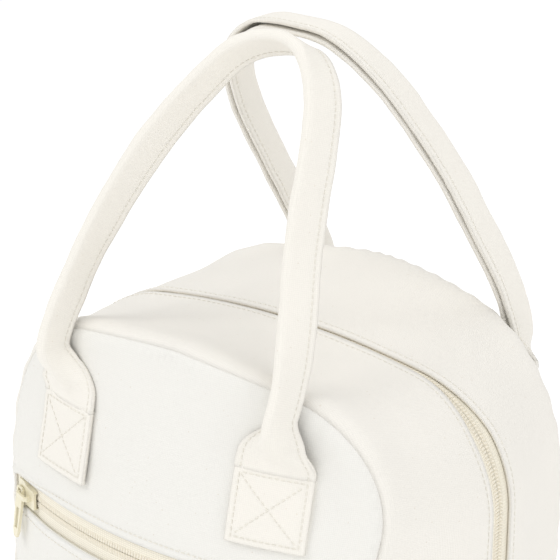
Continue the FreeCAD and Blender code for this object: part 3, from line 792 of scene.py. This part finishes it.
class SewBack(bpy.types.Operator):
    """Sew the back canvas"""
    bl_idname = "lunch_bag.back"
    bl_label = "Back canvas"

    def execute(self, context):
        sizes = sizes_now()
        corner = seam_point(BASE_RUN, 1)

        def foot(u):
            return lerp(-corner.x, corner.x, u), corner.z

        back = face_fan(190, 70, foot, seam_between(0.0, 1), 1)
        to_seam = seam_distance(back)

        def relief(u, v, p):
            return wall_relief(p, min(to_seam(u, v, p), p.z), BACK_SEAM * u, sizes.puff, 9.0)

        back.raise_by(relief)
        made = sew("back_canvas", back, "Cotton canvas", sizes.canvas_thickness / MM, "canvas", "back_panel")
        declare(back, ["lining_back_wall"])
        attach(made, "bag_back")
        return {"FINISHED"}


def strip_cloth(sign, from_y, columns, rows, inset=0.0, seam_inset=0.0):
    """Cloth of the side strip from a distance beside the zip to the seam, between the zip's lower ends."""
    reach = run_at_height(ZIP_FOOT)

    def place(u, v):
        run = lerp(-reach, reach, u)
        far = abs(seam_point(run, sign, inset, seam_inset).y)
        y = lerp(from_y(outline_at(abs(run))[1]), far, v)
        return strip_point(run, sign * y, inset), (run, sign * y)
    return Cloth(columns, rows, place).face_out(), reach


def base_cloth(columns, rows, inset=0.0, front_inset=0.0, back_inset=0.0):
    """Cloth under the base and up to the zip's lower ends."""
    low = ROUND - run_at_height(ZIP_FOOT)

    def place(u, v):
        e = lerp(-low, low, u)
        run = (ROUND - abs(e)) * (1 if e >= 0 else -1)
        front, back = seam_point(run, -1, inset, front_inset).y, seam_point(run, 1, inset, back_inset).y
        y = lerp(front, back, v)
        return strip_point(run, y, inset), (e, y)
    return Cloth(columns, rows, place).face_out()


def reveal(z):
    """Half the gap between the canvas edges beside the main zip."""
    return lerp(6.0, 1.5, ease((z - (TOP_LINE - 28.0)) / 27.0))


class SewSides(bpy.types.Operator):
    """Sew the canvas strip round the sides, top and base"""
    bl_idname = "lunch_bag.sides"
    bl_label = "Side strip"

    def execute(self, context):
        sizes = sizes_now()
        thick = sizes.canvas_thickness / MM
        for sign, word in ((-1, "front"), (1, "back")):
            strip, reach = strip_cloth(sign, reveal, 260, 26)

            def relief(u, v, p):
                run = lerp(-reach, reach, u)
                far, near = (1 - v) * STRIP_REACH, v * STRIP_REACH
                lift = wall_relief(p, far, run, sizes.puff, 13.0 + sign)
                lift += roll(far, 6.0, 1.6) * ease(near / 12)
                return lift * ease(near / 6.0) + turned_edge(near)

            strip.raise_by(relief)
            # the side strip takes the canvas colour with painted warm shade
            made = sew(f"side_strip_{word}", strip, "Side canvas", thick, "canvas", f"gusset_{word}")
            declare(strip, [f"lining_side_{word}"])
            bars = stitch_bars(strip.row(EDGE_STITCH / STRIP_REACH, 900), sizes)
            hang(sign, made, lay_bars(f"side_strip_stitches_{word}", bars, "Sewing thread"))

        base = base_cloth(130, 50)

        def settle(u, v, p):
            rise = wall_relief(p, min(v, 1 - v) * BASE_ACROSS, p.x, sizes.puff, 21.0)
            return rise * ease(p.z / 14.0) * ease((ZIP_FOOT - p.z) / 8.0)

        base.raise_by(settle)
        # the base takes the same painted warm shade colour
        made = sew("base_canvas", base, "Side canvas", thick, "canvas", "base_strip")
        declare(base, ["base_board"])
        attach(made, "bag_back")
        return {"FINISHED"}


def bind_seam(sign, word, inset):
    """The binding over an inner seam, a flattened tube along it."""
    run, steps, ring = run_at_height(ZIP_FOOT), 220, 8
    path = [seam_point(lerp(-run, run, i / steps), sign, 7.4, inset + 6.2) for i in range(steps + 1)]
    points, yarn = [], []
    for i, p in enumerate(path):
        along = (path[min(i + 1, steps)] - path[max(i - 1, 0)]).normalized()
        inward = (Vector((0, 0, 110)) - p).normalized()
        inward = (inward - along * inward.dot(along)).normalized()
        side = along.cross(inward)
        for k in range(ring):
            a = 2 * pi * k / ring
            points.append(p + side * (1.3 * cos(a)) + inward * (4.0 * sin(a)))
            yarn.append((i * 3.0, k * 1.0))
    faces = ring_faces(steps + 1, ring)
    made = make_mesh(f"seam_binding_{word}", points, faces, finish_for("Seam binding"), yarn)
    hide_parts(f"binding_{word}")
    hang(sign, made)


class LineWalls(bpy.types.Operator):
    """Put in the wadding with its lining, the inner seam binding and the pocket's cloth bag"""
    bl_idname = "lunch_bag.lining"
    bl_label = "Wadding and lining"

    def execute(self, context):
        def pad(name, cloth, *nodes):
            made = sew(name, cloth, "Lining film", sizes_now().wall_thickness / MM, "lining", *nodes)
            return made

        def foot(u):
            return lerp(-78.0, 78.0, u), 3.0

        for sign, word, inset in ((-1, "front", FRONT_INSET), (1, "back", WALL_INSET)):
            cloth = face_fan(90, 36, foot, seam_between(16.0, sign, 1.5), sign, inset)
            cloth.raise_by(lambda u, v, p: 0.5 * ripple(p, 30.0, 4.0) - 0.5)
            nodes = [f"foam_{word}", f"lining_{word}"]
            if sign < 0:
                nodes += ["foam_front_foot", "lining_front_foot"]
            hang(sign, pad(f"lining_{word}_wall", cloth, *nodes))
            strip, _ = strip_cloth(sign, lambda z: 7.2, 150, 14, WALL_INSET, inset)
            strip.raise_by(lambda u, v, p: -0.4 - 0.3 * abs(ripple(p, 30.0, 8.0)))
            hang(sign, pad(f"lining_side_{word}", strip, f"foam_gusset_{word}", f"lining_gusset_{word}"))
            bind_seam(sign, word, inset)

        cloth = base_cloth(80, 30, WALL_INSET, FRONT_INSET, WALL_INSET)
        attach(pad("lining_base_wall", cloth, "foam_base", "lining_base"), "bag_back")

        def pocket(u, v):
            x, z = lerp(-88.0, 88.0, u), lerp(72.0, 171.0, v)
            return (x, -(face_depth(x, z) - 4.9), z), face_yarn(x, z)

        cloth = Cloth(60, 36, pocket).face_out()
        cloth.raise_by(lambda u, v, p: 0.25 * ripple(p, 22.0, 2.0) - 0.25)
        made = sew("pocket_cloth_bag", cloth, "Pocket cloth", 0.5, "pocket_cloth", "pocket_bag")
        declare(cloth, ["front_canvas_upper"])
        bend_front(made)
        return {"FINISHED"}


class FitMainZip(bpy.types.Operator):
    """Fit the main zip: two tapes, two rows of coil and the stops"""
    bl_idname = "lunch_bag.main_zip"
    bl_label = "Main zip"

    def execute(self, context):
        sizes = sizes_now()
        reach = run_at_height(ZIP_FOOT)
        for sign, word in ((-1, "front"), (1, "back")):
            def place(u, v):
                run, y = lerp(-reach, reach, u), lerp(0.15, TAPE_HALF, v)
                return strip_point(run, sign * y, 1.25), (run, y)

            tape = Cloth(260, 6, place).face_out()
            made = sew(f"main_zip_tape_{word}", tape, "Zip tape", 0.55, "zip_tape")
            declare(tape, [f"side_strip_{word}"])
            path = []
            for i in range(701):
                run = lerp(-reach + 3, reach - 3, i / 700)
                x, z, nx, nz = outline_at(abs(run))
                side = 1 if run >= 0 else -1
                normal = Vector((side * nx, 0, nz))
                path.append((Vector((side * (x - CHAIN_INSET * nx), 0, z - CHAIN_INSET * nz)), normal))
            coil = coil_row(f"main_zip_coil_{word}", path, sign, 1, sizes)
            for piece, kind in ((made, "tape"), (coil, "coil")):
                ends = [f"main_{kind}_front_ends"] if sign < 0 else []
                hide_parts(f"main_{kind}_{word}", *ends)
            hang(sign, made, coil)
        paint("Slider enamel", "main_zip_stops", "main_slider", "main_puller")
        return {"FINISHED"}


class FitPocketZip(bpy.types.Operator):
    """Fit the pocket's zip: two tapes, two rows of coil and the stops"""
    bl_idname = "lunch_bag.pocket_zip"
    bl_label = "Pocket zip"

    def execute(self, context):
        sizes = sizes_now()
        half = seam_half_at(POCKET_ZIP) - 0.2
        for sign, word in ((1, "upper"), (-1, "lower")):
            def place(u, v):
                x, z = lerp(-half, half, u), POCKET_ZIP + sign * lerp(0.15, TAPE_HALF - 0.5, v)
                return (x, -(face_depth(x, z) - 1.3), z), (x, z)

            tape = Cloth(150, 6, place).face_out()
            made = sew(f"pocket_zip_tape_{word}", tape, "Zip tape", 0.5, "zip_tape", f"pocket_tape_{word}")
            declare(tape, [f"front_canvas_{'upper' if sign > 0 else 'pocket'}"])
            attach(made, "front_flap")
            path = []
            for i in range(301):
                x = lerp(-POCKET_HALF_WIDTH + 9.5, POCKET_HALF_WIDTH - 2.5, i / 300)
                depth = face_depth(x, POCKET_ZIP)
                normal = Vector((x / FACE_RADIUS, -sqrt(1 - (x / FACE_RADIUS) ** 2), 0))
                path.append((Vector((x, -depth, POCKET_ZIP)) - normal * CHAIN_INSET, normal))
            coil = coil_row(f"pocket_zip_coil_{word}", path, sign, 2, sizes)
            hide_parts(f"pocket_coil_{word}")
            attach(coil, "front_flap")
        paint("Slider enamel", "pocket_zip_stops", "pocket_slider", "pocket_puller")
        return {"FINISHED"}


def paint(finish, *nodes):
    """Carried-over pieces take a named finish."""
    for node in nodes:
        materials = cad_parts[node].data.materials
        materials.clear()
        materials.append(finish_for(finish))


# ---- handles ----

def smooth_line(points, count):
    """Evenly parted points on a smooth curve through the given ones."""
    first, last = points[0] * 2 - points[1], points[-1] * 2 - points[-2]
    ends = [first] + points + [last]
    dense = []
    for k in range(1, len(ends) - 2):
        a, b, c, d = ends[k - 1:k + 3]
        for i in range(24):
            t = i / 24
            dense.append(0.5 * (2 * b + (c - a) * t + (2 * a - 5 * b + 4 * c - d) * t ** 2
                                + (3 * b - a - 3 * c + d) * t ** 3))
    dense.append(points[-1])
    lengths = [0.0]
    for p, q in zip(dense, dense[1:]):
        lengths.append(lengths[-1] + (q - p).length)
    out, k = [], 0
    for i in range(count + 1):
        want = lengths[-1] * i / count
        while k < len(dense) - 2 and lengths[k + 1] < want:
            k += 1
        t = clamp((want - lengths[k]) / max(lengths[k + 1] - lengths[k], 1e-9))
        out.append(dense[k].lerp(dense[k + 1], t))
    return out, lengths[-1]


def strap_depth(rise, fold_up):
    return lerp(3.0, 18.0, ease(rise / fold_up))


def lean_in(rise):
    """How much sooner the soft strap leans in than a straight line to its top."""
    for (low, a), (high, b) in zip(LEAN_MARKS, LEAN_MARKS[1:]):
        if rise <= high:
            return lerp(a, b, ease((rise - low) / (high - low)))
    return 0.0


def strap_middle(rise, shift, fold_up):
    """The strap's middle, out from the bag's middle plane: up the panel, then leaning in."""
    root = face_depth(ROOT_X - abs(shift), PATCH_TOP) + 0.3
    slope = (root - 0.3) / (HANDLE_TOP - PATCH_TOP - 24.0)
    leant = 9.0 * log1p(exp((rise - 24.0) / 9.0))
    return root - slope * leant + strap_depth(rise, fold_up) / 2 - lean_in(rise)


def turn_at(table, share):
    for (a, first), (b, second) in zip(table, table[1:]):
        if share <= b:
            return Vector(first).lerp(Vector(second), ease((share - a) / (b - a)))
    return Vector(table[-1][1])


def strap_cloth(line, table, sign, shift):
    """A strip of canvas, flat at both ends and folded in half between them."""
    fold_up = FRONT_FOLD_UP if sign < 0 else BACK_FOLD_UP
    ends = (-1.0, 4.0, 11.0)
    marks = [(-STRAP_END_X, rise) for rise in ends] + line
    marks += [(STRAP_END_X, rise) for rise in reversed(ends)]
    places = [Vector((x + shift, sign * strap_middle(rise, shift, fold_up), PATCH_TOP + rise))
              for x, rise in marks]
    stations, strip_length = smooth_line(places, STATIONS)
    wing, lanes = STRIP_WIDTH / 2, 24

    frames = []
    for i, p in enumerate(stations):
        along = (stations[min(i + 1, STATIONS)] - stations[max(i - 1, 0)]).normalized()
        upright = Vector((0, 0, 1 if i < STATIONS // 2 else -1))
        along = upright.lerp(along, ease((p.z - PATCH_TOP - 6.0) / 30.0)).normalized()
        turn = turn_at(table, i / STATIONS)
        turn = Vector((turn.x, -sign * turn.y, turn.z))
        turn = (turn - along * turn.dot(along)).normalized()
        frames.append((p, turn, along.cross(turn).normalized()))

    def place(u, v):
        p, turn, side = frames[round(u * STATIONS)]
        rise = p.z - PATCH_TOP
        closed = lerp(pi / 2, 0.0, ease(rise / fold_up))
        w = 2 * v - 1
        reach, deep, wide = abs(w) * wing, 0.0, 0.0
        for k in range(16):
            s = (k + 0.5) / 16 * reach
            angle = lerp(pi / 2, closed, ease(s / 4.2))
            deep += cos(angle) * reach / 16
            wide += sin(angle) * reach / 16
        spine = p - turn * (0.5 * strap_depth(rise, fold_up) - 0.9)
        q = spine + turn * deep + side * copysign(wide, w)
        panel_y = face_depth(q.x, min(q.z, 240.0))
        out, clear = abs(q.y), panel_y + 2.4
        held = 0.5 * (out + clear + hypot(out - clear, 0.8))
        out = lerp(held, out, ease((q.z - 226.0) / 18.0))
        out = lerp(out, panel_y + 2.75, 1 - ease((rise + 1.0) / 13.0))
        return Vector((q.x, sign * out if rise < 60 else q.y, q.z)), (u * strip_length, w * wing)

    cloth = Cloth(STATIONS, lanes, place)
    middle = cloth.index(STATIONS // 2, lanes // 2)
    if cloth.normals[middle].dot(frames[STATIONS // 2][1]) > 0:
        cloth.turn_over()
    cloth.raise_by(lambda u, v, p: 0.45 * ripple(p, 16.0, 30.0 + sign) + 0.2 * ripple(p, 6.0, 33.0)
                   - 0.3 * exp(-((abs(2 * v - 1) - 0.84) / 0.05) ** 2))
    return cloth, strip_length


def sew_strap(word, sign, line, table, shift, sizes):
    """A handle's strap, sewn down at both ends."""
    cloth, strip_length = strap_cloth(line, table, sign, shift)
    # the strap takes the lighter strap colour, which is painted light
    made = sew(f"{word}_strap", cloth, "Strap canvas", sizes.strap_layer / MM, "strap", f"{word}_handle")
    strip_length * MM
    bars = []
    for share in (0.08, 0.92):
        bars += stitch_bars(cloth.row(share, 500, 0), sizes)
    seam = lay_bars(f"{word}_strap_stitches", bars, "Sewing thread")
    root = (0, sign * face_depth(ROOT_X, PATCH_TOP) * MM)
    for piece in (made, seam):
        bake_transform(piece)


def sew_end(word, name, middle, sign, panel, sizes):
    """A handle's flat end with its crossed stitching."""
    def place(u, v):
        x = middle + lerp(-STRIP_WIDTH / 2, STRIP_WIDTH / 2, u)
        z = lerp(PATCH_TOP - PATCH_HEIGHT, PATCH_TOP, v)
        return (x, sign * (face_depth(x, z) + sizes.patch_thickness / MM + 1.0), z), (x, z)

    def relief(u, v, p):
        edge = min(u * STRIP_WIDTH, (1 - u) * STRIP_WIDTH, v * PATCH_HEIGHT)
        sunk = 0.35 * exp(-((edge - END_STITCH) / 0.7) ** 2)
        return 0.2 * ripple(p, 12.0, 40.0) - sunk - 0.5 * exp(-edge)

    patch = Cloth(34, 34, place).face_out()
    patch.raise_by(relief)
    # the flat end takes the same painted-light strap colour
    end = sew(f"{word}_handle_end_{name}", patch, "Strap canvas",
              sizes.patch_thickness / MM + 0.8, "strap")
    declare(patch, ["front_canvas_upper" if sign < 0 else "back_canvas"])
    if name == "left":
        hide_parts(f"{word}_handle_ends")
    low = END_STITCH / STRIP_WIDTH
    top = 1 - low
    corners = ((low, top), (low, low), (top, low), (top, top), (low, top))
    border = []
    for (u0, v0), (u1, v1) in zip(corners, corners[1:]):
        border += [patch.at(lerp(u0, u1, i / 30), lerp(v0, v1, i / 30)) for i in range(31)]
    bars = stitch_bars(border, sizes)
    for u0, u1 in ((low, top), (top, low)):
        cross = [patch.at(lerp(u0, u1, i / 40), lerp(low, top, i / 40)) for i in range(2, 39)]
        bars += stitch_bars(cross, sizes)
    stitches = lay_bars(f"{word}_end_stitches_{name}", bars, "Sewing thread")
    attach(end, panel)
    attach(stitches, panel)


class SewHandles(bpy.types.Operator):
    """Sew both handles and their flat ends"""
    bl_idname = "lunch_bag.handles"
    bl_label = "Handles"

    def execute(self, context):
        sizes = sizes_now()
        both = (("front", -1, FRONT_LINE, FRONT_TURN, 0.0, "front_flap"),
                ("back", 1, BACK_LINE, BACK_TURN, BACK_SHIFT, "bag_back"))
        for word, sign, line, table, shift, panel in both:
            sew_strap(word, sign, line, table, shift, sizes)
            for side, name in ((-1, "left"), (1, "right")):
                sew_end(word, name, side * STRAP_END_X + shift, sign, panel, sizes)
        return {"FINISHED"}


class FinishBoard(bpy.types.Operator):
    """Finish the stiff board in the base"""
    bl_idname = "lunch_bag.board"
    bl_label = "Base board"

    def execute(self, context):
        paint("Base board", "base_board")
        return {"FINISHED"}


class SetStage(bpy.types.Operator):
    """Set the floor, lights and camera"""
    bl_idname = "lunch_bag.stage"
    bl_label = "Floor, lights and camera"

    def execute(self, context):
        scene = context.scene
        white = Finish("Studio floor")
        white.set(Base_Color=(0.93, 0.93, 0.93, 1.0), Roughness=1.0, Specular_IOR_Level=0.0,
                  Emission_Color=(1.0, 1.0, 1.0, 1.0), Emission_Strength=0.2)
        corners = [(-9000, -9000, 0), (9000, -9000, 0), (9000, 9000, 0), (-9000, 9000, 0)]
        floor = make_mesh("floor", corners, [(0, 1, 2, 3)], white.material)

        world = bpy.data.worlds.new("Studio")
        world.use_nodes = True
        sky = world.node_tree.nodes["Background"]
        sky.inputs["Color"].default_value = (1.0, 1.0, 1.0, 1.0)
        sky.inputs["Strength"].default_value = 0.72
        scene.world = world
        scene.view_settings.view_transform = "Standard"

        lamps = (("key_light", (-0.9, -1.3, 1.7), 1.2, 12.5), ("side_light", (1.5, -0.5, 1.2), 1.3, 7.0),
                 ("top_light", (0.1, 0.4, 1.9), 1.4, 5.0))
        for name, place, size, power in lamps:
            lamp = bpy.data.lights.new(name, "AREA")
            lamp.size, lamp.energy = size, power
            made = bpy.data.objects.new(name, lamp)
            made.location = place
            made.rotation_euler = (Vector((0, 0, 0.15)) - Vector(place)).to_track_quat("-Z", "Y").to_euler()
            scene.collection.objects.link(made)

        back = -Vector(CAMERA_LOOK).normalized()
        right = Vector((0, 0, 1)).cross(back).normalized()
        up = back.cross(right)
        roll_angle = radians(CAMERA_ROLL)
        across = right * cos(roll_angle) + up * sin(roll_angle)
        above = up * cos(roll_angle) - right * sin(roll_angle)
        camera = bpy.data.cameras.new("camera")
        camera.sensor_width, camera.lens = 36.0, CAMERA_LENS
        made = bpy.data.objects.new("camera", camera)
        turned = Matrix((across, above, back)).transposed().to_4x4()
        made.matrix_world = Matrix.Translation(CAMERA_PLACE) @ turned
        scene.collection.objects.link(made)
        scene.camera = made
        return {"FINISHED"}


STEPS = (SewFront, SewBack, SewSides, LineWalls, FitMainZip, FitPocketZip, SewHandles, FinishBoard, SetStage)


class LunchBagPanel(bpy.types.Panel):
    """Lists the bag's pieces"""
    bl_idname = "VIEW3D_PT_lunch_bag"
    bl_label = "Lunch bag"
    bl_space_type = "VIEW_3D"
    bl_region_type = "UI"
    bl_category = "Lunch bag"

    def draw(self, context):
        for group in (context.scene.lunch_bag_sizes, context.scene.lunch_bag_colours):
            for name in group.__annotations__:
                self.layout.prop(group, name)
        for step in STEPS:
            self.layout.operator(step.bl_idname)


CLASSES = (Sizes, Colours, *STEPS, LunchBagPanel)


def register():
    for one in CLASSES:
        bpy.utils.register_class(one)
    bpy.types.Scene.lunch_bag_sizes = PointerProperty(type=Sizes)
    bpy.types.Scene.lunch_bag_colours = PointerProperty(type=Colours)


def unregister():
    del bpy.types.Scene.lunch_bag_colours
    del bpy.types.Scene.lunch_bag_sizes
    for one in reversed(CLASSES):
        bpy.utils.unregister_class(one)


def main():
    register()
    bpy.ops.lunch_bag.front()
    bpy.ops.lunch_bag.back()
    bpy.ops.lunch_bag.sides()
    bpy.ops.lunch_bag.lining()
    bpy.ops.lunch_bag.main_zip()
    bpy.ops.lunch_bag.pocket_zip()
    bpy.ops.lunch_bag.handles()
    bpy.ops.lunch_bag.board()
    bpy.ops.lunch_bag.stage()


if __name__ == "__main__":
    main()
